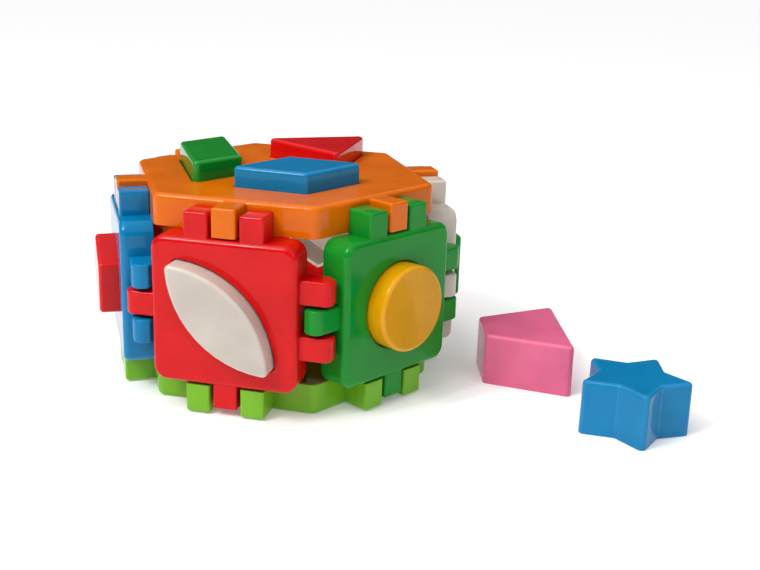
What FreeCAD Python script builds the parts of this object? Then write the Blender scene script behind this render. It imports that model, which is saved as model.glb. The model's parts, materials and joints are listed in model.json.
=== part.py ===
"""Shape sorter: a six-sided drum of moulded plastic panels with push-in shapes.

Units are millimetres and +Z is up.  The drum stands on z = 0 with its axis on Z.
Two hexagonal plates close the ends, and six square panels clip between them by
finger-like teeth.  Every plate and panel has shaped holes, and a hollow shape
sits in each hole, apart from two shapes that lie beside the drum.
"""
import FreeCAD, Part
import math
import os

import Sketcher

V = FreeCAD.Vector
os.makedirs("parts", exist_ok=True)
doc = FreeCAD.newDocument("shape_sorter")

# ---------------------------------------------------------------- the sheet
SIZES = {
    "panel_side": 72.0,        # a side panel is a square of this width
    "panel_depth": 16.0,       # front face to open back
    "plate_apothem": 70.0,     # axis to the flat side of a hexagonal plate
    "plate_depth": 15.5,       # outer face to the rim of the skirt
    "seat_gap": 0.3,           # between a plate's rim and a panel's edge
    "skin": 2.6,               # thickness of a plate's or panel's outer face
    "wall": 2.2,               # thickness of rims and of the collars round holes
    "plate_corner": 5.0,       # upright corners of a plate
    "plate_round": 2.6,        # edge between a plate's face and its skirt
    "panel_corner": 7.0,       # corners of a panel, seen from the front
    "panel_round": 3.0,        # edge between a panel's face and its sides
    "tooth_width": 12.0,
    "tooth_length": 12.2,      # how far a tooth stands out from its edge
    "tooth_pitch": 27.4,       # between the two teeth of a pair
    "tooth_depth": 14.2,       # of the teeth that lie along the plates
    "tooth_lift": 0.4,         # those teeth start this far off the plate's side
    "tooth_wall": 2.0,
    "tooth_round": 1.2,
    "side_reach": 15.6,        # of the teeth that meet the next panel
    "side_depth": 11.2,
    "side_lift": 0.8,
    "side_round": 4.6,         # rounded front end of a side tooth
    "side_bevel": 3.6,         # cut off its back end, clear of the next panel
    "tab_gap": 0.6,            # from the plate's rim to its tabs
    "tab_height": 14.0,
    "shape_height": 27.0,      # closed face to open rim of every push-in shape
    "shape_proud": 10.0,       # how far a seated shape stands out of its hole
    "shape_wall": 1.8,
    "shape_skin": 2.2,
    "shape_corner": 2.6,       # upright corners of a shape
    "shape_round": 2.0,        # edge round a shape's closed face
    "hole_play": 0.3,          # between a shape's open rim and its hole
    "hole_round": 0.8,         # rounded lip of a hole
    "draft_angle": 0.4,        # degrees: a shape narrows to its closed face
    "lens_half_length": 35.5,
    "lens_half_width": 14.5,
    "disc_radius": 21.6,
    "square_radius": 24.0,
    "pentagon_radius": 22.2,
    "triangle_radius": 32.7,
    "hexagon_radius": 21.0,
    "octagon_radius": 22.0,
    "rhombus_side": 40.2,
    "rhombus_angle": 66.0,     # degrees, the sharp corner
    "slant_long": 57.0,        # the parallelogram's long and short sides
    "slant_short": 31.0,
    "slant_angle": 120.0,      # degrees, from the long side to the short one
    "trapezoid_short": 29.7,
    "trapezoid_long": 66.7,
    "trapezoid_height": 43.5,
    "star_tip": 29.4,          # centre to a tip, before rounding
    "star_notch": 17.4,        # centre to a notch
    "cross_reach": 23.0,       # centre to the end of an arm
    "cross_arm": 8.5,          # half the width of an arm
}
sheet = doc.addObject("Spreadsheet::Sheet", "Sizes")
for row, (name, number) in enumerate(SIZES.items(), start=1):
    sheet.set(f"A{row}", name)
    sheet.set(f"B{row}", str(number))
    sheet.setAlias(f"B{row}", name)
doc.recompute()
size = {name: float(sheet.get(name)) for name in SIZES}


# A length is a dictionary of sheet names and factors, so that one statement of
# it gives both its number and the expression that binds a property to the sheet.
def value(length):
    return sum(factor * size[name] for name, factor in length.items())


def formula(length):
    return " + ".join(f"({factor:.9f}) * Sizes.{name}" for name, factor in length.items())


def add(*lengths):
    total = {}
    for length in lengths:
        for name, factor in length.items():
            total[name] = total.get(name, 0.0) + factor
    return total


def times(length, number):
    return {name: factor * number for name, factor in length.items()}


def bind(item, prop, length):
    item.setExpression(prop, formula(length))


# ------------------------------------------------------------------ outlines
# Each outline takes grow, the length by which its sides are moved outwards, and
# gives its corners in order as pairs of lengths.
def ring(radii, turn=0.0):
    """Corners on spokes at even angles, one radius for each spoke."""
    corners = []
    for i, radius in enumerate(radii):
        angle = math.radians(turn) + 2.0 * math.pi * i / len(radii)
        corners.append((times(radius, math.cos(angle)), times(radius, math.sin(angle))))
    return corners


def regular(name, sides, turn=0.0):
    """A regular polygon, whose corners move out faster than its sides."""
    def outline(grow):
        radius = add({name: 1.0}, times(grow, 1.0 / math.cos(math.pi / sides)))
        return ring([radius] * sides, turn)
    return outline


def star(grow):
    tip, notch = size["star_tip"], size["star_notch"]
    fifth = math.pi / 5.0
    edge = math.sqrt(tip**2 + notch**2 - 2.0 * tip * notch * math.cos(fifth))
    middle_to_edge = tip * notch * math.sin(fifth) / edge
    out = add({"star_tip": 1.0}, times(grow, tip / middle_to_edge))
    back = add({"star_notch": 1.0}, times(grow, notch / middle_to_edge))
    return ring([out, back] * 5)


def rhombus(grow):
    half = math.radians(size["rhombus_angle"] / 2.0)
    long_half = add({"rhombus_side": math.cos(half)}, times(grow, 1.0 / math.sin(half)))
    short_half = add({"rhombus_side": math.sin(half)}, times(grow, 1.0 / math.cos(half)))
    return ring([long_half, short_half, long_half, short_half])


def slant(grow):
    """A parallelogram centred on the origin, its long sides along X."""
    angle = math.radians(size["slant_angle"])
    long_half = add({"slant_long": 0.5}, times(grow, 1.0 / math.sin(angle)))
    short_half = add({"slant_short": 0.5}, times(grow, 1.0 / math.sin(angle)))
    lean, rise = times(short_half, math.cos(angle)), times(short_half, math.sin(angle))
    corners = []
    for along, up in ((-1, -1), (1, -1), (1, 1), (-1, 1)):
        corners.append((add(times(long_half, along), times(lean, up)), times(rise, up)))
    return corners


def trapezoid(grow):
    """An even-legged trapezoid, its short side on +Y."""
    overhang = (size["trapezoid_long"] - size["trapezoid_short"]) / 2.0
    base_angle = math.atan2(size["trapezoid_height"], overhang)
    half_angle = math.tan(base_angle / 2.0)
    rise = add({"trapezoid_height": 0.5}, grow)
    long_half = add({"trapezoid_long": 0.5}, times(grow, 1.0 / half_angle))
    short_half = add({"trapezoid_short": 0.5}, times(grow, half_angle))
    return [(times(long_half, -1), times(rise, -1)), (long_half, times(rise, -1)),
            (short_half, rise), (times(short_half, -1), rise)]


def cross(grow):
    """A plus sign: each corner of one quarter, repeated with both signs."""
    far, near = add({"cross_reach": 1.0}, grow), add({"cross_arm": 1.0}, grow)
    corners = []
    for along, up in ((1, 1), (-1, 1), (-1, -1), (1, -1)):
        quarter = [(times(far, along), times(near, up)), (times(near, along), times(near, up)),
                   (times(near, along), times(far, up))]
        corners += quarter if along * up > 0 else quarter[::-1]
    return corners


def box_outline(left, right, low, high):
    return [(left, low), (right, low), (right, high), (left, high)]


def square_outline(half):
    return box_outline(times(half, -1), half, times(half, -1), half)


# ------------------------------------------------------------------ sketches
def new_sketch(body, name, level=None, centre=(0.0, 0.0), turn=0.0):
    """A sketch on the body's own XY plane, lifted, moved and turned within it."""
    item = body.newObject("Sketcher::SketchObject", name)
    planes = [p for p in body.Origin.OriginFeatures if p.Role == "XY_Plane"]
    item.AttachmentSupport = [(planes[0], "")]
    item.MapMode = "FlatFace"
    place = V(centre[0], centre[1], value(level or {}))
    item.AttachmentOffset = FreeCAD.Placement(place, FreeCAD.Rotation(V(0, 0, 1), turn))
    if level:
        bind(item, "AttachmentOffset.Base.z", level)
    return item


def pin_point(item, geometry, end, corner):
    """Holds one end of a line at its two lengths from the sketch's origin."""
    for kind, axis, length in (("DistanceX", -2, corner[0]), ("DistanceY", -1, corner[1])):
        number = value(length)
        if abs(number) < 1e-7:
            item.addConstraint(Sketcher.Constraint("PointOnObject", geometry, end, axis))
            continue
        index = item.addConstraint(Sketcher.Constraint(kind, -1, 1, geometry, end, number))
        label = f"{kind}_{geometry}_{end}"
        item.renameConstraint(index, label)
        bind(item, f"Constraints.{label}", length)


def draw_polygon(item, corners):
    """A closed polygon whose corners are bound to the sheet."""
    points = [V(value(x), value(y), 0.0) for x, y in corners]
    first = item.GeometryCount
    lines = [Part.LineSegment(a, b) for a, b in zip(points, points[1:] + points[:1])]
    item.addGeometry(lines)
    count = len(lines)
    for i in range(count):
        after = first + (i + 1) % count
        item.addConstraint(Sketcher.Constraint("Coincident", first + i, 2, after, 1))
    for i, corner in enumerate(corners):
        pin_point(item, first + i, 1, corner)


def draw_disc(item, grow):
    radius = add({"disc_radius": 1.0}, grow)
    circle = item.addGeometry(Part.Circle(V(0, 0, 0), V(0, 0, 1), value(radius)))
    item.addConstraint(Sketcher.Constraint("Coincident", circle, 3, -1, 1))
    index = item.addConstraint(Sketcher.Constraint("Radius", circle, value(radius)))
    item.renameConstraint(index, "radius")
    bind(item, "Constraints.radius", radius)


def draw_lens(item, grow):
    """Two equal arcs that meet in points on the X axis, and bulge to +Y and -Y."""
    half_length, half_width = size["lens_half_length"], size["lens_half_width"]
    bow = (half_length**2 + half_width**2) / (2.0 * half_width)
    centre = bow - half_width
    radius = bow + value(grow)
    tip = math.sqrt(radius**2 - centre**2)
    spread = math.asin(tip / radius)
    upper = Part.Circle(V(0, -centre, 0), V(0, 0, 1), radius)
    lower = Part.Circle(V(0, centre, 0), V(0, 0, 1), radius)
    quarter = math.pi / 2.0
    item.addGeometry(Part.ArcOfCircle(upper, quarter - spread, quarter + spread))
    item.addGeometry(Part.ArcOfCircle(lower, 3 * quarter - spread, 3 * quarter + spread))
    item.addConstraint(Sketcher.Constraint("Coincident", 0, 2, 1, 1))
    item.addConstraint(Sketcher.Constraint("Coincident", 1, 2, 0, 1))
    item.addConstraint(Sketcher.Constraint("Equal", 0, 1))
    item.addConstraint(Sketcher.Constraint("PointOnObject", 0, 1, -1))
    item.addConstraint(Sketcher.Constraint("PointOnObject", 0, 2, -1))
    item.addConstraint(Sketcher.Constraint("PointOnObject", 0, 3, -2))
    bow_text = ("(Sizes.lens_half_length ^ 2 + Sizes.lens_half_width ^ 2)"
                " / (2 * Sizes.lens_half_width)")
    for kind, number, text in (
            ("Radius", radius, f"{bow_text} + {formula(grow) or '0'}"),
            ("DistanceY", -centre, f"Sizes.lens_half_width - {bow_text}")):
        if kind == "Radius":
            rule = Sketcher.Constraint(kind, 0, number)
        else:
            rule = Sketcher.Constraint(kind, -1, 1, 0, 3, number)
        index = item.addConstraint(rule)
        item.renameConstraint(index, kind)
        item.setExpression(f"Constraints.{kind}", text)


def draw_outline(item, outline, grow):
    if outline == "disc":
        draw_disc(item, grow)
    elif outline == "lens":
        draw_lens(item, grow)
    else:
        draw_polygon(item, outline(grow))


# ------------------------------------------------------------------ features
def new_body(name):
    body = doc.addObject("PartDesign::Body", name)
    body.Label = name
    return body


def pad(body, item, length, name, taper=None):
    feature = body.newObject("PartDesign::Pad", name)
    feature.Profile = item
    feature.Length = value(length)
    bind(feature, "Length", length)
    if taper:
        feature.TaperAngle = -value(taper)
        bind(feature, "TaperAngle", times(taper, -1))
    doc.recompute()
    return feature


def pocket(body, item, length, name):
    """Cuts upwards from the sketch, and stops if nothing was removed."""
    before = body.Shape.Volume
    feature = body.newObject("PartDesign::Pocket", name)
    feature.Profile = item
    feature.Reversed = True
    feature.Length = value(length)
    bind(feature, "Length", length)
    doc.recompute()
    if body.Shape.Volume > before - 1.0:
        raise RuntimeError(f"{body.Label}: {name} removed nothing")
    return feature


def dress(body, kind, name, prop, length, wanted):
    """A fillet or chamfer on every edge of the body that wanted() picks."""
    base = body.Tip
    names = [f"Edge{i}" for i, edge in enumerate(base.Shape.Edges, start=1) if wanted(edge)]
    if not names:
        raise RuntimeError(f"{body.Label}: {name} found no edge")
    feature = body.newObject(kind, name)
    feature.Base = (base, names)
    setattr(feature, prop, value(length))
    bind(feature, prop, length)
    doc.recompute()
    return feature


def fillet(body, name, radius, wanted):
    return dress(body, "PartDesign::Fillet", name, "Radius", {radius: 1.0}, wanted)


TOUCH = 0.01       # points this near to a level or to each other count as meeting
UPRIGHT = 0.98     # rise over length of an edge that counts as upright, draft and all
SINK = 1.0         # a tooth's edges start up to this far inside the side it stands on
CLEAR = 0.3        # and their middles lie at least this far outside it


def ends(edge):
    return [vertex.Point for vertex in edge.Vertexes]


def middle(edge):
    return edge.valueAt((edge.FirstParameter + edge.LastParameter) / 2.0)


def is_upright(edge):
    """True for an edge that runs along Z, or leans only by the draft."""
    points = ends(edge)
    if len(points) < 2:
        return False
    run = points[1] - points[0]
    return abs(run.z) > UPRIGHT * run.Length


def lies_at(edge, level):
    points = ends(edge) + [middle(edge)]
    return all(abs(point.z - level) < TOUCH for point in points)


# ----------------------------------------------------------- push-in shapes
SHAPES = {
    "lens_shape": "lens",
    "disc_shape": "disc",
    "square_shape": regular("square_radius", 4, 45.0),
    "hexagon_shape": regular("hexagon_radius", 6, 30.0),
    "cross_shape": cross,
    "pentagon_shape": regular("pentagon_radius", 5, 90.0),
    "triangle_shape": regular("triangle_radius", 3, 180.0),
    "octagon_shape": regular("octagon_radius", 8, 22.5),
    "parallelogram_shape": slant,
    "rhombus_shape": rhombus,
    "trapezoid_shape": trapezoid,
    "star_shape": star,
}


def make_shape(name, outline, place):
    """A hollow plug: open rim at the bottom, closed face on top, rounded edges."""
    body = new_body(name)
    item = new_sketch(body, f"{name}_outline")
    draw_outline(item, outline, {})
    pad(body, item, {"shape_height": 1.0}, f"{name}_block", {"draft_angle": 1.0})
    if outline != "disc":
        fillet(body, f"{name}_corners", "shape_corner", is_upright)
    top = size["shape_height"]
    fillet(body, f"{name}_rim", "shape_round", lambda edge: lies_at(edge, top))
    item = new_sketch(body, f"{name}_hollow_outline")
    draw_outline(item, outline, {"shape_wall": -1.0})
    pocket(body, item, {"shape_height": 1.0, "shape_skin": -1.0}, f"{name}_hollow")
    body.Placement = place
    return body


# ------------------------------------------------------------ holes in a face
def cut_cavity(body, rim, holes, depth):
    """Hollows the back of a plate or panel, and cuts each hole with a collar round it."""
    item = new_sketch(body, f"{body.Name}_cavity_outline")
    draw_polygon(item, rim)
    doc.recompute()
    pocket(body, item, {depth: 1.0, "skin": -1.0}, f"{body.Name}_cavity")
    for name, centre, turn in holes:
        item = new_sketch(body, f"{body.Name}_{name}_collar_outline", None, centre, turn)
        draw_outline(item, SHAPES[name], {"hole_play": 1.0, "wall": 1.0})
        pad(body, item, {depth: 1.0, "skin": -0.5}, f"{body.Name}_{name}_collar")
    for name, centre, turn in holes:
        item = new_sketch(body, f"{body.Name}_{name}_hole_outline", None, centre, turn)
        draw_outline(item, SHAPES[name], {"hole_play": 1.0})
        pocket(body, item, {depth: 1.0}, f"{body.Name}_{name}_hole")
    for name, centre, turn in holes:
        round_hole(body, name, centre, size[depth])


def hole_lip(body, centre, level):
    """The wire in the body's outer face that goes round the given centre."""
    for face in body.Tip.Shape.Faces:
        box = face.BoundBox
        if abs(box.ZMin - level) > TOUCH or abs(box.ZMax - level) > TOUCH:
            continue
        for wire in face.Wires:
            box = wire.BoundBox
            across = box.XMin < centre[0] < box.XMax
            if across and box.YMin < centre[1] < box.YMax and not wire.isSame(face.OuterWire):
                return wire
    raise RuntimeError(f"{body.Label}: no hole at {centre}")


def round_hole(body, name, centre, level):
    """Rounds the corners of a hole, and then its lip on the outer face."""
    if SHAPES[name] != "disc":
        corners = ends(hole_lip(body, centre, level))

        def at_corner(edge):
            return is_upright(edge) and any(
                (end - corner).Length < TOUCH for end in ends(edge) for corner in corners)

        dress(body, "PartDesign::Fillet", f"{body.Name}_{name}_corners", "Radius",
              {"shape_corner": 1.0, "hole_play": 1.0}, at_corner)
    lip = hole_lip(body, centre, level).Edges
    fillet(body, f"{body.Name}_{name}_lip", "hole_round",
           lambda edge: any(edge.isSame(part) for part in lip))


# -------------------------------------------------------------------- plates
CORNER = 1.0 / math.cos(math.pi / 6.0)     # corner of a hexagon for each unit of apothem
PAIR = (-0.5, 0.5)                         # where teeth stand along an edge, in pitches
SINGLE = (0.0,)


def tooth_spans(pitches, half):
    """The two sides of each tooth along its edge, half being half the tooth's width."""
    for pitch in pitches:
        centre = {"tooth_pitch": pitch}
        yield add(centre, times(half, -1)), add(centre, half)


HALF_TOOTH = {"tooth_width": 0.5}
HALF_HOLLOW = {"tooth_width": 0.5, "tooth_wall": -1.0}


def make_plate(name, pitches, holes, place):
    """A hexagonal tray: outer face on top, skirt below, tabs on its six sides."""
    body = new_body(name)
    item = new_sketch(body, f"{name}_outline")
    draw_polygon(item, ring([{"plate_apothem": CORNER}] * 6))
    pad(body, item, {"plate_depth": 1.0}, f"{name}_block")
    fillet(body, f"{name}_corners", "plate_corner", is_upright)
    top = size["plate_depth"]
    fillet(body, f"{name}_edge", "plate_round", lambda edge: lies_at(edge, top))

    # The tabs of the side that faces -Y, which are then repeated round the axis.
    root = {"plate_apothem": -1.0, "wall": 0.5}
    hollow_root = {"plate_apothem": -1.0, "tooth_lift": -1.0}
    tip = add(hollow_root, {"tooth_depth": -1.0})
    item = new_sketch(body, f"{name}_tab_outline", {"tab_gap": 1.0})
    for sides in tooth_spans(pitches, HALF_TOOTH):
        draw_polygon(item, box_outline(*sides, tip, root))
    tabs = pad(body, item, {"tab_height": 1.0}, f"{name}_tabs")
    item = new_sketch(body, f"{name}_tab_hollow_outline", {"tab_gap": 1.0})
    for sides in tooth_spans(pitches, HALF_HOLLOW):
        draw_polygon(item, box_outline(*sides, add(tip, {"tooth_wall": 1.0}), hollow_root))
    hollows = pocket(body, item, {"tab_height": 1.0, "tooth_wall": -1.0}, f"{name}_tab_hollows")
    ring_of = body.newObject("PartDesign::PolarPattern", f"{name}_tab_ring")
    ring_of.Originals = [tabs, hollows]
    axes = [a for a in body.Origin.OriginFeatures if a.Role == "Z_Axis"]
    ring_of.Axis = (axes[0], [""])
    ring_of.Angle = 360.0
    ring_of.Occurrences = 6
    body.Tip = ring_of
    doc.recompute()

    side = size["plate_apothem"]
    half = value(HALF_TOOTH)
    centres = [pitch * size["tooth_pitch"] for pitch in pitches]

    def outside_tab(point):
        """True on the two flanks and the end of a tab of the side that faces -Y."""
        on_flank = any(abs(abs(point.x - centre) - half) < TOUCH for centre in centres)
        return -point.y > side - SINK and (on_flank or abs(point.y - value(tip)) < TOUCH)

    def on_tab(edge):
        if lies_at(edge, size["tab_gap"]):
            return False
        for turn in range(6):
            back = FreeCAD.Rotation(V(0, 0, 1), -60.0 * turn)
            points = [back.multVec(point) for point in ends(edge) + [middle(edge)]]
            if -points[-1].y > side + CLEAR and all(outside_tab(point) for point in points):
                return True
        return False

    fillet(body, f"{name}_tab_edges", "tooth_round", on_tab)
    rim = ring([add({"plate_apothem": CORNER}, {"wall": -CORNER})] * 6)
    cut_cavity(body, rim, holes, "plate_depth")
    body.Placement = place
    return body


# -------------------------------------------------------------------- panels
def make_panel(name, shape_name, turn, centre, place):
    """A square tray, +Z outwards and +Y up, with teeth on its four edges."""
    body = new_body(name)
    edge_line = {"panel_side": 0.5}
    rim = {"panel_side": 0.5, "wall": -1.0}
    item = new_sketch(body, f"{name}_outline")
    draw_polygon(item, square_outline(edge_line))
    pad(body, item, {"panel_depth": 1.0}, f"{name}_block")
    fillet(body, f"{name}_corners", "panel_corner", is_upright)
    front = size["panel_depth"]
    fillet(body, f"{name}_edge", "panel_round", lambda edge: lies_at(edge, front))

    # Side teeth: two on the right edge and one on the left.
    tip = {"panel_side": 0.5, "side_reach": 1.0}
    item = new_sketch(body, f"{name}_side_teeth_outline", {"side_lift": 1.0})
    for sides in tooth_spans(PAIR, HALF_TOOTH):
        draw_polygon(item, box_outline(rim, tip, *sides))
    for sides in tooth_spans(SINGLE, HALF_TOOTH):
        draw_polygon(item, box_outline(times(tip, -1), times(rim, -1), *sides))
    pad(body, item, {"side_depth": 1.0}, f"{name}_side_teeth")
    end = value(tip)

    def at_end(level):
        def wanted(edge):
            points = ends(edge) + [middle(edge)]
            return lies_at(edge, level) and all(abs(abs(p.x) - end) < TOUCH for p in points)
        return wanted

    tooth_front = size["side_lift"] + size["side_depth"]
    fillet(body, f"{name}_side_tooth_ends", "side_round", at_end(tooth_front))
    dress(body, "PartDesign::Chamfer", f"{name}_side_tooth_bevels", "Size",
          {"side_bevel": 1.0}, at_end(size["side_lift"]))

    # Teeth along the plates: two on the top edge and one on the bottom.
    tip = {"panel_side": 0.5, "tooth_length": 1.0}
    item = new_sketch(body, f"{name}_plate_teeth_outline", {"tooth_lift": 1.0})
    for sides in tooth_spans(PAIR, HALF_TOOTH):
        draw_polygon(item, box_outline(*sides, rim, tip))
    for sides in tooth_spans(SINGLE, HALF_TOOTH):
        draw_polygon(item, box_outline(*sides, times(tip, -1), times(rim, -1)))
    pad(body, item, {"tooth_depth": 1.0}, f"{name}_plate_teeth")
    side = value(edge_line)

    def on_tooth(edge):
        """True for an edge beyond the square, unless it is round a tooth's back."""
        if lies_at(edge, size["tooth_lift"]) or lies_at(edge, size["side_lift"]):
            return False
        spots = [max(abs(p.x), abs(p.y)) for p in ends(edge) + [middle(edge)]]
        return min(spots) > side - SINK and spots[-1] > side + CLEAR

    fillet(body, f"{name}_tooth_edges", "tooth_round", on_tooth)

    # The hollow backs of the teeth.
    item = new_sketch(body, f"{name}_tooth_hollows_outline")
    hollow_tip = add(tip, {"tooth_wall": -1.0})
    for sides in tooth_spans(PAIR, HALF_HOLLOW):
        draw_polygon(item, box_outline(*sides, edge_line, hollow_tip))
    for sides in tooth_spans(SINGLE, HALF_HOLLOW):
        draw_polygon(item, box_outline(*sides, times(hollow_tip, -1), times(edge_line, -1)))
    pocket(body, item, {"tooth_lift": 1.0, "tooth_depth": 1.0, "tooth_wall": -1.0},
           f"{name}_tooth_hollows")
    cut_cavity(body, square_outline(rim), [(shape_name, centre, turn)], "panel_depth")
    body.Placement = place
    return body


# ------------------------------------------------------------------ assembly
panel_middle = {"plate_depth": 1.0, "seat_gap": 1.0, "panel_side": 0.5}
top_plate_base = {"plate_depth": 1.0, "seat_gap": 2.0, "panel_side": 1.0}


def side_place(side, out):
    """The place of a panel, or of what is in it: +Z turned out of the given side."""
    angle = math.radians(-90.0 + 60.0 * side)
    outwards = V(math.cos(angle), math.sin(angle), 0)
    along = V(-math.sin(angle), math.cos(angle), 0)
    rotation = FreeCAD.Rotation(along, V(0, 0, 1), outwards, "XYZ")
    return FreeCAD.Placement(outwards * out + V(0, 0, value(panel_middle)), rotation)


def within(place, centre, turn, level):
    """A place on a face: moved across it, turned on it and set at a level."""
    spin = FreeCAD.Rotation(V(0, 0, 1), turn)
    return place.multiply(FreeCAD.Placement(V(centre[0], centre[1], level), spin))


# Each panel: side number, name, the shape in it, its turn and where its hole is.
PANELS = [
    (0, "front_left_panel", "lens_shape", -45.0, (0.0, 0.0)),
    (1, "front_right_panel", "disc_shape", 0.0, (0.0, 0.0)),
    (2, "right_panel", "square_shape", 0.0, (0.0, 0.0)),
    (3, "back_right_panel", "hexagon_shape", 0.0, (0.0, 0.0)),
    (4, "back_left_panel", "cross_shape", 0.0, (0.0, 0.0)),
    (5, "left_panel", "pentagon_shape", 12.0, (0.0, 0.0)),
]
TOP_HOLES = [
    ("parallelogram_shape", (-37.7, -4.6), -60.0),
    ("rhombus_shape", (17.4, -27.3), 29.0),
    ("triangle_shape", (11.9, 35.0), 0.0),
]
# The last of these holds its shape, and the others are empty.
BOTTOM_HOLES = [
    ("star_shape", (30.3, -17.5), 6.0),
    ("trapezoid_shape", (-30.3, -17.5), -60.0),
    ("octagon_shape", (0.0, 35.0), 0.0),
]

# Two shapes lie beside the drum, closed face up.
LOOSE = [("trapezoid_shape", (129.0, 16.8), 106.5), ("star_shape", (189.0, -36.0), 140.5)]

seated = value({"plate_depth": 1.0, "shape_proud": 1.0, "shape_height": -1.0})
flush = value({"plate_depth": 1.0, "shape_height": -1.0})
in_panel = value({"panel_depth": 1.0, "shape_proud": 1.0, "shape_height": -1.0})

ground = FreeCAD.Placement()
top_place = FreeCAD.Placement(V(0, 0, value(top_plate_base)), FreeCAD.Rotation())
bottom_place = FreeCAD.Placement(V(0, 0, size["plate_depth"]),
                                 FreeCAD.Rotation(V(1, 0, 0), 180.0))
nodes = [
    make_plate("top_plate", SINGLE, TOP_HOLES, top_place),
    make_plate("bottom_plate", PAIR, BOTTOM_HOLES, bottom_place),
]
in_place = []
for side, panel_name, shape_name, turn, centre in PANELS:
    place = side_place(side, size["plate_apothem"])
    nodes.append(make_panel(panel_name, shape_name, turn, centre, place))
    in_place.append((shape_name, within(place, centre, turn, in_panel)))
for shape_name, centre, turn in TOP_HOLES:
    in_place.append((shape_name, within(top_place, centre, turn, seated)))
shape_name, centre, turn = BOTTOM_HOLES[-1]
in_place.append((shape_name, within(bottom_place, centre, turn, flush)))
for shape_name, centre, turn in LOOSE:
    in_place.append((shape_name, within(ground, centre, turn, 0.0)))
for shape_name, place in in_place:
    nodes.append(make_shape(shape_name, SHAPES[shape_name], place))

# -------------------------------------------------------------------- checks
doc.recompute()
for item in doc.Objects:
    if "Invalid" in item.State or "Error" in item.State:
        raise RuntimeError(f"{item.Label}: {item.State}")
for node in nodes:
    shape = node.Shape
    if shape.isNull() or not shape.isValid() or len(shape.Solids) != 1:
        raise RuntimeError(f"{node.Label} is not one valid solid")
    shape.exportStep(f"parts/{node.Label}.step")
    box = shape.BoundBox
    print(f"{node.Label:22s} {shape.Volume / 1000.0:7.2f} cm3"
          f"  x {box.XMin:7.1f} {box.XMax:7.1f}  y {box.YMin:7.1f} {box.YMax:7.1f}"
          f"  z {box.ZMin:6.1f} {box.ZMax:6.1f}")
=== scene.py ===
# %% [markdown]
# # A shape sorter in glossy plastic
#
# The toy is a six-sided drum.  Six square panels clip between two hexagonal plates,
# and a hollow block sits in each shaped hole.  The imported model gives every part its
# size and place.  This lesson adds the camera, the light, the plastics and a finer
# surface for each of the twelve blocks.

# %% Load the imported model
import json
import math

import bpy
import numpy as np
from mathutils import Matrix, Vector


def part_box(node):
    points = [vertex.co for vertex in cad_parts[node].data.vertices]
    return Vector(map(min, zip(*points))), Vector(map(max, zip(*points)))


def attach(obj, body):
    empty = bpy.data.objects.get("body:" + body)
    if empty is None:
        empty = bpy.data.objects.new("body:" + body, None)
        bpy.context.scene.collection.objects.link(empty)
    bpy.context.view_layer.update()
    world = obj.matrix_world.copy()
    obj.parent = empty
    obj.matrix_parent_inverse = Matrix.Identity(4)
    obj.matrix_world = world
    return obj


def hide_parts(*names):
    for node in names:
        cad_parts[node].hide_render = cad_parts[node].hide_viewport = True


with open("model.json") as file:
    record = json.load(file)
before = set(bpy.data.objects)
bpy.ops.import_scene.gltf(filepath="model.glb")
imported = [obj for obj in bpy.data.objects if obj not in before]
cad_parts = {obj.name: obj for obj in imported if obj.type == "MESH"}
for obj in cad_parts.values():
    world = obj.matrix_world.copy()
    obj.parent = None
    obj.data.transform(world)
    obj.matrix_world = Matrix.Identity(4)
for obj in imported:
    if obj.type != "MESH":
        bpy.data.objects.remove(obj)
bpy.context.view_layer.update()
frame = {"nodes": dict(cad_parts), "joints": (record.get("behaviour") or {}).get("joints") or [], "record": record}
record = frame["record"]
SLOT_OF = {part["node"]: part["material_slot"] for part in record["subparts"]}
BODY_OF = {node: body for body, nodes in record["behaviour"]["bodies"].items() for node in nodes}

# %% [markdown]
# ## The camera
#
# The toy is seen from a little above and a little to the right of its red panel.
# A camera could be aimed with a Track To constraint, but a fixed turn is easier to
# read: its heading, how far it looks down, and a slight roll to one side.  Its three
# axes come from those angles, and they are the columns of its matrix.

# %% Place the camera
HEADING = math.radians(13.29)
LOOKS_DOWN = math.radians(17.55)
ROLL = math.radians(1.82)
CAMERA_AT = (0.188, -0.5648, 0.2304)
camera_data = bpy.data.cameras.new("camera")
camera_data.lens = 54.86
camera_data.clip_start = 0.02
camera_data.clip_end = 100.0
camera = bpy.data.objects.new("camera", camera_data)
bpy.context.scene.collection.objects.link(camera)
back = Vector((math.sin(HEADING) * math.cos(LOOKS_DOWN),
               -math.cos(HEADING) * math.cos(LOOKS_DOWN), math.sin(LOOKS_DOWN)))
level_right = Vector((math.cos(HEADING), math.sin(HEADING), 0.0))
level_up = back.cross(level_right)
right = math.cos(ROLL) * level_right + math.sin(ROLL) * level_up
up = back.cross(right)
camera_axes = Matrix((right, up, back)).transposed().to_4x4()
camera.matrix_world = Matrix.Translation(CAMERA_AT) @ camera_axes
bpy.context.scene.camera = camera
print("camera looks along", [round(part, 3) for part in -back])

# %% [markdown]
# ## The floor
#
# The toy stands on a plain white floor, wide enough to fill the view.  The floor is
# matt, and it glows a little so that it stays near white.


# %% Make the floor
def link(made):
    """Puts an object in the scene."""
    bpy.context.scene.collection.objects.link(made)
    return made


def shader(name):
    """A new material, with its node tree and its Principled node."""
    material = bpy.data.materials.new(name)
    material.use_nodes = True
    tree = material.node_tree
    return material, tree, tree.nodes["Principled BSDF"]


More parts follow.
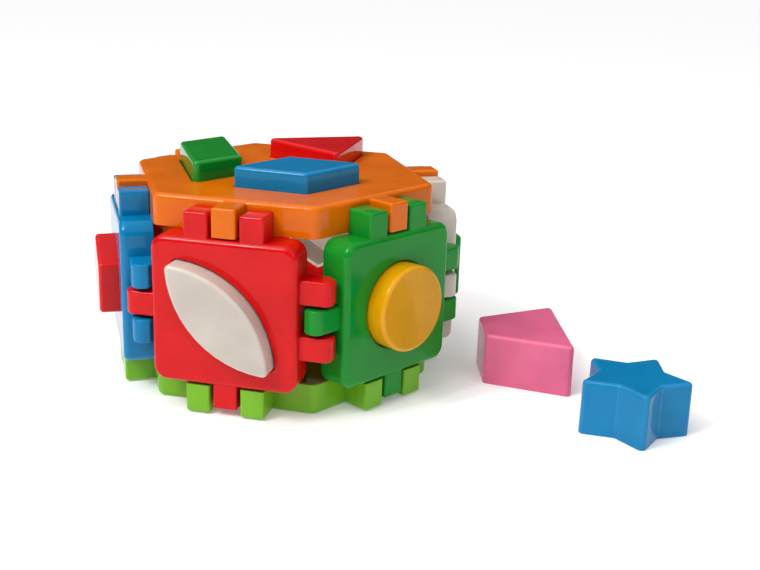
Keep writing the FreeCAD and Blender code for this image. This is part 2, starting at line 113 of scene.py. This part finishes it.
FLOOR_HALF = 40.0
floor_mesh = bpy.data.meshes.new("floor")
floor_corners = FLOOR_HALF * np.array([(-1, -1, 0), (1, -1, 0), (1, 1, 0), (-1, 1, 0)])
floor_mesh.from_pydata(floor_corners.tolist(), [], [(0, 1, 2, 3)])
floor = link(bpy.data.objects.new("floor", floor_mesh))
floor_paint, _, floor_look = shader("white floor")
floor_look.inputs["Base Color"].default_value = (0.93, 0.93, 0.93, 1.0)
floor_look.inputs["Roughness"].default_value = 0.75
floor_look.inputs["Specular IOR Level"].default_value = 0.1
floor_look.inputs["Emission Color"].default_value = (1.0, 1.0, 1.0, 1.0)
floor_look.inputs["Emission Strength"].default_value = 0.16
floor_mesh.materials.append(floor_paint)
print("floor", 2 * FLOOR_HALF, "m across")

# %% [markdown]
# ## The lights
#
# The key light comes from high on the left.  It is two narrow softboxes side by side,
# so a round corner shows a double glint and a rounded edge a thin bright line.  One
# large box would be simpler, but it would draw a single broad highlight.  A wider box
# on the right opens the shadows, and a very soft sun reaches the whole floor alike,
# where the softboxes fade with distance.  A small lamp inside the drum stands for the
# light that its thin walls let through.


# %% Hang the lights
def softbox(name, place, aim, width, height, watts):
    """An area light at a place, facing a point."""
    data = bpy.data.lights.new(name, "AREA")
    data.shape = "RECTANGLE"
    data.size, data.size_y = width, height
    data.energy = watts
    lamp = link(bpy.data.objects.new(name, data))
    toward = Vector(aim) - Vector(place)
    turn = toward.to_track_quat("-Z", "Y").to_matrix().to_4x4()
    lamp.matrix_world = Matrix.Translation(place) @ turn


TOY_MIDDLE = (0.03, 0.0, 0.05)
DRUM_MIDDLE = (-0.01, 0.0, 0.055)
BACK_WALL = (0.0, 0.07, 0.082)
KEY_PLACES = {"left": (-0.62, -0.80, 1.15), "right": (-0.47, -0.91, 1.15)}
for side, place in KEY_PLACES.items():
    softbox(f"key softbox {side}", place, TOY_MIDDLE, width=0.08, height=0.26, watts=3.6)
softbox("fill softbox", (1.3, -0.9, 0.9), TOY_MIDDLE, width=1.2, height=1.2, watts=4.0)
softbox("light through the walls", DRUM_MIDDLE, BACK_WALL, width=0.04, height=0.04, watts=0.05)

sun_data = bpy.data.lights.new("soft sun", "SUN")
sun_data.energy = 1.5
sun_data.angle = math.radians(50.0)
sun = link(bpy.data.objects.new("soft sun", sun_data))
sun_heading = Vector((0.45, 0.55, -1.0))
sun.matrix_world = sun_heading.to_track_quat("-Z", "Y").to_matrix().to_4x4()
print("three softboxes, a lamp in the drum and a soft sun")

# %% [markdown]
# ## The sky
#
# The rest of the studio is only a sky.  A plain grey one would do for an even light,
# but glossy plastic mirrors what is around it.  So the sky is bright above, and dark
# near the horizon, because the flat tops of the toy mirror that part.

# %% Set the sky
world = bpy.data.worlds.new("studio")
bpy.context.scene.world = world
world.use_nodes = True
sky = world.node_tree.nodes
wires = world.node_tree.links
direction = sky.new("ShaderNodeTexCoord")
split = sky.new("ShaderNodeSeparateXYZ")
wires.new(direction.outputs["Generated"], split.inputs[0])
height_ramp = sky.new("ShaderNodeValToRGB")
stops = height_ramp.color_ramp.elements
stops[0].position, stops[0].color = 0.0, (0.05, 0.05, 0.05, 1.0)
stops[1].position, stops[1].color = 0.85, (0.95, 0.95, 0.95, 1.0)
for height, grey in ((0.38, 0.06), (0.55, 0.45)):
    stops.new(height).color = (grey, grey, grey, 1.0)
wires.new(split.outputs["Z"], height_ramp.inputs[0])
wires.new(height_ramp.outputs[0], sky["Background"].inputs["Color"])
sky["Background"].inputs["Strength"].default_value = 0.8
bpy.context.scene.view_settings.view_transform = "Standard"
print("a sky of", len(stops), "greys from the ground up")

# %% [markdown]
# ## Moulded plastic
#
# Every part is injection-moulded in one glossy colour.  A flat colour with a low
# roughness would look like a computer drawing, so each plastic has what a moulding
# has: pigment that drifts slightly as the melt flowed, a gloss dulled in patches by
# handling, a faint waviness where the wall sank as it cooled, a fine grain, and
# hairline rubs.  The edges that are marked with wear are paler and a little duller.
# Some light also passes under the surface, most of all in the white parts.  All of it
# is worked out from Object coordinates, which are metres here, so the scales are real
# sizes.

# %% Write the plastic shader
SCALE = {"flow": 45.0, "handling": 70.0, "sink": 32.0, "grain": 2600.0, "rubs": 900.0}
ALONG_THE_RUBS = (1.0, 0.06, 1.0)
WEAR_SHOWS = (0.2, 1.0)
GLOSS = 0.09
GLOW = {"white_plastic": 0.6}
PLAIN_GLOW = 0.15


def noise(tree, where, scale, detail, stretch=None):
    """Fractal noise of so many bumps a metre, stretched along chosen axes."""
    node = tree.nodes.new("ShaderNodeTexNoise")
    node.inputs["Scale"].default_value = scale
    node.inputs["Detail"].default_value = detail
    if stretch:
        mapping = tree.nodes.new("ShaderNodeMapping")
        mapping.inputs["Scale"].default_value = stretch
        mapping.inputs["Rotation"].default_value = (0.4, 0.3, 0.7)
        tree.links.new(where, mapping.inputs["Vector"])
        where = mapping.outputs["Vector"]
    tree.links.new(where, node.inputs["Vector"])
    return node.outputs["Fac"]


def remap(tree, source, low, high, out_low, out_high):
    """A straight change of range, held within its ends."""
    node = tree.nodes.new("ShaderNodeMapRange")
    for socket, number in zip(("From Min", "From Max", "To Min", "To Max"),
                              (low, high, out_low, out_high)):
        node.inputs[socket].default_value = number
    tree.links.new(source, node.inputs["Value"])
    return node.outputs["Result"]


def bump(tree, height, strength, distance, below=None):
    """Turns a height into a tilt of the surface, on top of another such tilt."""
    node = tree.nodes.new("ShaderNodeBump")
    node.inputs["Strength"].default_value = strength
    node.inputs["Distance"].default_value = distance
    tree.links.new(height, node.inputs["Height"])
    if below is not None:
        tree.links.new(below, node.inputs["Normal"])
    return node.outputs["Normal"]


def moulded_plastic(name, colour, glow):
    """Glossy plastic of one colour, and how much light goes under its skin."""
    material, tree, look = shader(name)
    place = tree.nodes.new("ShaderNodeTexCoord").outputs["Object"]
    flow = noise(tree, place, SCALE["flow"], 3.0)
    tint = tree.nodes.new("ShaderNodeMix")
    tint.data_type = "RGBA"
    deep = [part * 0.93 for part in colour]
    light = [min(1.0, part * 1.05 + 0.002) for part in colour]
    tint.inputs["A"].default_value = (*deep, 1.0)
    tint.inputs["B"].default_value = (*light, 1.0)
    tree.links.new(remap(tree, flow, 0.35, 0.65, 0.0, 1.0), tint.inputs["Factor"])
    worn = tree.nodes.new("ShaderNodeAttribute")
    worn.attribute_name = "wear"
    rub = tree.nodes.new("ShaderNodeMix")
    rub.data_type = "RGBA"
    rub.inputs["B"].default_value = (*(min(1.0, part * 1.15 + 0.02) for part in colour), 1.0)
    tree.links.new(remap(tree, worn.outputs["Fac"], *WEAR_SHOWS, 0.0, 0.5), rub.inputs["Factor"])
    tree.links.new(tint.outputs["Result"], rub.inputs["A"])
    tree.links.new(rub.outputs["Result"], look.inputs["Base Color"])
    handling = noise(tree, place, SCALE["handling"], 4.0)
    dulled = tree.nodes.new("ShaderNodeMath")
    tree.links.new(remap(tree, handling, 0.35, 0.7, GLOSS * 0.8, GLOSS * 1.5),
                   dulled.inputs[0])
    tree.links.new(remap(tree, worn.outputs["Fac"], *WEAR_SHOWS, 0.0, 0.05), dulled.inputs[1])
    tree.links.new(dulled.outputs["Value"], look.inputs["Roughness"])
    sunk = bump(tree, noise(tree, place, SCALE["sink"], 0.0), 0.35, 0.0012)
    rubs = noise(tree, place, SCALE["rubs"], 2.0, ALONG_THE_RUBS)
    rubbed = bump(tree, rubs, 0.05, 0.00004, sunk)
    grained = bump(tree, noise(tree, place, SCALE["grain"], 1.0), 0.04, 0.00003, rubbed)
    tree.links.new(grained, look.inputs["Normal"])
    look.inputs["IOR"].default_value = 1.47
    look.inputs["Specular IOR Level"].default_value = 0.26
    look.inputs["Subsurface Weight"].default_value = glow
    look.inputs["Subsurface Scale"].default_value = 0.004
    look.inputs["Subsurface Radius"].default_value = (1.0, 0.8, 0.7)
    return material


print("plastic with", len(SCALE), "kinds of fine unevenness")

# %% [markdown]
# ## The eight colours
#
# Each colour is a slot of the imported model, so its name is the slot's name.  Every
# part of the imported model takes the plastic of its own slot.

# %% Mix the eight colours
COLOURS = {
    "orange_plastic": (0.76, 0.155, 0.000),
    "lime_plastic": (0.18, 0.47, 0.02),
    "red_plastic": (0.64, 0.003, 0.005),
    "green_plastic": (0.004, 0.26, 0.02),
    "white_plastic": (0.58, 0.525, 0.465),
    "blue_plastic": (0.001, 0.20, 0.43),
    "yellow_plastic": (0.68, 0.31, 0.000),
    "pink_plastic": (0.74, 0.14, 0.27),
}
PLASTIC = {slot: moulded_plastic(slot.replace("_", " "), colour, GLOW.get(slot, PLAIN_GLOW))
           for slot, colour in COLOURS.items()}
for node, part in frame["nodes"].items():
    part.material_slots[0].material = PLASTIC[SLOT_OF[node]]
print(len(PLASTIC), "plastics")

# %% [markdown]
# ## An outline as a chain of arcs
#
# Seen from above, each block is a polygon with rounded corners, and the lens is two
# bows that meet in rounded tips.  A bevel modifier could round a plain polygon, but a
# chain of arcs says the same outline exactly.  Each arc has a centre, a radius, the
# angle that its outward normal starts at and the angle that it sweeps, and straight
# sides are simply what lies between two arcs.  A corner that points inwards has a
# negative radius, so one rule moves every outline in or out: add to all the radii.

# %% Draw the outlines
STEPS_PER_ARC = 13
CORNER = 0.0026


def spokes(radii, turn=0.0):
    """Corners at even angles: the angle is the turn plus a whole circle's share for each."""
    angle = math.radians(turn) + 2.0 * np.pi * np.arange(len(radii)) / len(radii)
    return np.array(radii)[:, None] * np.column_stack([np.cos(angle), np.sin(angle)])


def rounded(corners, radius=CORNER):
    """Arcs for the corners of a polygon.  The tangent point is the radius times the
    tangent of half the turn away from the corner, and the centre is a radius inwards."""
    before = corners - np.roll(corners, 1, axis=0)
    before /= np.linalg.norm(before, axis=1)[:, None]
    after = np.roll(before, -1, axis=0)
    sweep = np.arctan2(before[:, 0] * after[:, 1] - before[:, 1] * after[:, 0],
                       (before * after).sum(axis=1))
    signed = radius * np.sign(sweep)
    inward = np.column_stack([-before[:, 1], before[:, 0]])
    tangent = corners - before * (radius * np.tan(np.abs(sweep) / 2.0))[:, None]
    start = np.arctan2(-inward[:, 1], -inward[:, 0])
    return tangent + signed[:, None] * inward, signed, start, sweep


def circle(radius, arcs=8):
    """One circle as equal arcs about one centre."""
    sweep = 2.0 * np.pi / arcs
    return (np.zeros((arcs, 2)), np.full(arcs, radius), sweep * np.arange(arcs),
            np.full(arcs, sweep))


def lens(half_length, half_width, radius=CORNER):
    """Two bows and two tips.  A bow's radius is the sum of the squares of the halves over
    twice the half width, and a tip's centre is where both bows are a tip's radius away."""
    bow = (half_length**2 + half_width**2) / (2.0 * half_width)
    drop = bow - half_width
    tip = math.sqrt((bow - radius)**2 - drop**2)
    lean = math.atan2(drop, tip)
    centres = np.array([(tip, 0.0), (0.0, -drop), (-tip, 0.0), (0.0, drop)])
    starts = np.array([-lean, lean, math.pi - lean, math.pi + lean])
    bow_sweep = math.pi - 2.0 * lean
    return (centres, np.array([radius, bow, radius, bow]), starts,
            np.array([2.0 * lean, bow_sweep, 2.0 * lean, bow_sweep]))


def trace(arcs, turn=0.0):
    """Points and outward normals along a chain of arcs that is turned about its centre.
    A point is its arc's centre plus the radius times the normal."""
    centres, radii, starts, sweeps = arcs
    share = np.linspace(0.0, 1.0, STEPS_PER_ARC)
    angle = (starts[:, None] + sweeps[:, None] * share).ravel() + math.radians(turn)
    normals = np.column_stack([np.cos(angle), np.sin(angle)])
    cos, sin = math.cos(math.radians(turn)), math.sin(math.radians(turn))
    centres = centres @ np.array([(cos, sin), (-sin, cos)])
    points = np.repeat(centres, STEPS_PER_ARC, axis=0)
    points = points + np.repeat(radii, STEPS_PER_ARC)[:, None] * normals
    roundness = np.tile(np.sin(np.pi * share), len(radii)) * np.repeat(
        np.minimum(1.0, CORNER / np.abs(radii)), STEPS_PER_ARC)
    apart = np.linalg.norm(points - np.roll(points, 1, axis=0), axis=1) > 1e-7
    return points[apart], normals[apart], roundness[apart]


slant = math.radians(120.0)
slant_short = 0.0155 * np.array([math.cos(slant), math.sin(slant)])
slant_long = np.array([0.0285, 0.0])
sharp = math.radians(33.0)
arm = np.array([(0.0230, -0.0085), (0.0230, 0.0085), (0.0085, 0.0085)])
quarter_turn = np.array([(0.0, 1.0), (-1.0, 0.0)])
OUTLINES = {
    "lens": lens(0.0355, 0.0145),
    "disc": circle(0.0216),
    "square": rounded(spokes([0.0240] * 4, 45.0)),
    "hexagon": rounded(spokes([0.0210] * 6, 30.0)),
    "cross": rounded(np.concatenate(
        [arm @ np.linalg.matrix_power(quarter_turn, i) for i in range(4)])),
    "pentagon": rounded(spokes([0.0222] * 5, 90.0)),
    "triangle": rounded(spokes([0.0327] * 3, 180.0)),
    "octagon": rounded(spokes([0.0220] * 8, 22.5)),
    "parallelogram": rounded(np.array([-slant_long - slant_short, slant_long - slant_short,
                                       slant_long + slant_short, slant_short - slant_long])),
    "rhombus": rounded(0.0402 * spokes([math.cos(sharp), math.sin(sharp)] * 2)),
    "trapezoid": rounded(np.array([(-0.03335, -0.02175), (0.03335, -0.02175),
                                   (0.01485, 0.02175), (-0.01485, 0.02175)])),
    "star": rounded(spokes([0.0294, 0.0174] * 5)),
}
for name, arcs in OUTLINES.items():
    points, _, _ = trace(arcs)
    print(f"{name:14s} {len(arcs[1]):2d} arcs, {1000 * np.ptp(points[:, 0]):.1f} mm wide")

# %% [markdown]
# ## A block as one closed skin
#
# A block is a cup with thin walls: a closed face with rounded edges, sides that lean
# in slightly so that the block comes out of its mould, an open rim, and a hollow back.
# It could be a solid, hollowed with a boolean, but one skin is cleaner.  The skin is a
# function of two parameters: where it is along the outline, and where it is along a
# profile that starts in the middle of the face, goes over the edge, down the side,
# round the rim, up the inside and ends in the middle of the hollow.

# %% Write the profile
HEIGHT = 0.0270
WALL = 0.0018
FACE = 0.0022
EDGE = 0.0020
LIP = 0.0006
COVE = 0.0006
DRAFT = math.tan(math.radians(0.4))
SINK = 0.00012
FACE_SHARES = np.array([0.06, 0.25, 0.5, 0.75, 0.92, 0.985])
SIDE_STATIONS = 5
EDGE_STATIONS = 9
LIP_STATIONS = 5
COVE_STATIONS = 4


def quarter(steps):
    """Angles from nought to a right angle."""
    return np.linspace(0.0, np.pi / 2.0, steps)


def profile():
    """For each station: how far out from the outline, how high, how far it is shrunk
    towards the middle, and how much it lies on a rounded edge.  A rounded edge is a
    quarter circle, and the sides lean in by the height times the tangent of the draft."""
    over, under, cove = quarter(EDGE_STATIONS), quarter(LIP_STATIONS), quarter(COVE_STATIONS)
    side = np.linspace(HEIGHT - EDGE, LIP, SIDE_STATIONS + 2)[1:-1]
    outside = [  # the face, its rounded edge, the side, and the rim's outer half
        (-EDGE, HEIGHT - SINK * (1.0 - FACE_SHARES**2), FACE_SHARES, 0.0),
        (EDGE * (np.sin(over) - 1.0), HEIGHT - EDGE + EDGE * np.cos(over), 1.0, np.sin(2.0 * over)),
        (0.0, side, 1.0, 0.0),
        (LIP * (np.cos(under) - 1.0), LIP * (1.0 - np.sin(under)), 1.0, np.sin(2.0 * under))]
    inside = [  # the rim's inner half, the wall, the cove, and the end of the hollow
        (LIP * (1.0 - np.sin(under)) - WALL, LIP * (1.0 - np.cos(under)), 1.0, 0.0),
        (-WALL, side[::-1], 1.0, 0.0),
        (COVE * (np.cos(cove) - 1.0) - WALL, HEIGHT - FACE - COVE + COVE * np.sin(cove), 1.0, 0.0),
        (-WALL - COVE, HEIGHT - FACE, FACE_SHARES[::-1], 0.0)]
    stretches = [np.broadcast_arrays(*stretch) for stretch in outside + inside]
    out, up, scale, edge = (np.concatenate(column) for column in zip(*stretches))
    outer_count = sum(len(stretch[0]) for stretch in stretches[:len(outside)])
    outer = np.arange(len(up)) < outer_count
    return out - np.where(outer, DRAFT * up, 0.0), up, scale, edge


def closed_skin(name, rings, first_pole, last_pole, wear):
    """A mesh from rings of points that all have the same count.  Each four neighbours make
    a face, and each end is closed by triangles that meet in one point."""
    count, around, _ = rings.shape
    verts = np.concatenate([rings.reshape(-1, 3), [first_pole], [last_pole]])
    here = np.arange(around)
    after = np.roll(here, -1)
    row = around * np.arange(count - 1)[:, None]
    quads = np.stack([row + here, row + around + here, row + around + after, row + after], axis=-1)
    first, last = count * around, count * around + 1
    end = around * (count - 1)
    caps = np.concatenate([
        np.column_stack([np.full(around, first), here, after]),
        np.column_stack([np.full(around, last), end + after, end + here])])
    mesh = bpy.data.meshes.new(name)
    mesh.from_pydata(verts.tolist(), [], quads.reshape(-1, 4).tolist() + caps.tolist())
    mesh.shade_smooth()
    worn = mesh.attributes.new("wear", "FLOAT", "POINT")
    worn.data.foreach_set("value", np.append(wear.ravel(), [0.0, 0.0]).astype(np.float32))
    return mesh


print("a block has", len(profile()[0]), "stations along its profile")

# %% [markdown]
# ## Put each block where its part is
#
# A seated block faces along the direction in which it is pulled out, and the joints
# say which way that is.  The block is made flat on the XY plane, turned to face that
# way, and slid until its box sits on the box of the part that it stands for.

# %% Make the twelve blocks
PULLED_ALONG = {joint["child"]: Vector(joint["axis"]) for joint in frame["joints"]}
TURNED = {"lens": -45.0, "pentagon": 12.0, "parallelogram": -60.0, "rhombus": 29.0,
          "trapezoid": 106.5, "star": 140.5}
LYING = ("trapezoid", "star")
OUTWARD = {node: PULLED_ALONG[BODY_OF[node]] for node in frame["nodes"]
           if node.endswith("_shape")}


def facing(node):
    """The three axes of a block: along its outline's X and Y, and out of its face."""
    kind = node.replace("_shape", "")
    if kind == "octagon":
        return np.array([(1.0, 0.0, 0.0), (0.0, -1.0, 0.0), (0.0, 0.0, -1.0)])
    out = Vector((0.0, 0.0, 1.0)) if kind in LYING else OUTWARD[node]
    if abs(out.z) > 0.5:
        return np.eye(3)
    upward = Vector((0.0, 0.0, 1.0))
    return np.array([upward.cross(out), upward, out])


def make_block(node):
    """The block that stands for one part: its profile swept round its outline.  A point
    is the outline's point plus the way out times the normal, shrunk towards the middle."""
    kind = node.replace("_shape", "")
    points, normals, roundness = trace(OUTLINES[kind], TURNED.get(kind, 0.0))
    out, up, scale, edge = profile()
    flat = (points + out[:, None, None] * normals) * scale[:, None, None]
    heights = np.broadcast_to(up[:, None, None], (*flat.shape[:2], 1))
    rings = np.concatenate([flat, heights], axis=2)
    axes = facing(node)
    low, high = (np.array(corner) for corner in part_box(node))
    placed = rings @ axes
    spread = placed.reshape(-1, 3)
    middle = (spread.min(axis=0) + spread.max(axis=0)) / 2.0
    shift = (low + high) / 2.0 - middle
    poles = np.array([(0.0, 0.0, HEIGHT - SINK), (0.0, 0.0, HEIGHT - FACE)]) @ axes + shift
    wear = np.maximum(edge[:, None], roundness * (scale[:, None] == 1.0) * (up[:, None] > LIP))
    mesh = closed_skin(node.replace("shape", "block"), placed + shift, *poles, wear)
    block = link(bpy.data.objects.new(mesh.name, mesh))
    mesh.materials.append(PLASTIC[SLOT_OF[node]])
    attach(block, BODY_OF[node])
    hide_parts(node)
    miss = 1000 * np.abs(np.ptp(spread, axis=0) - (high - low)).max()
    print(f"{block.name:20s} {len(mesh.polygons):5d} faces, off its part's size by {miss:.2f} mm")
    return block


blocks = [make_block(node) for node in sorted(OUTWARD)]
print(len(blocks), "blocks")
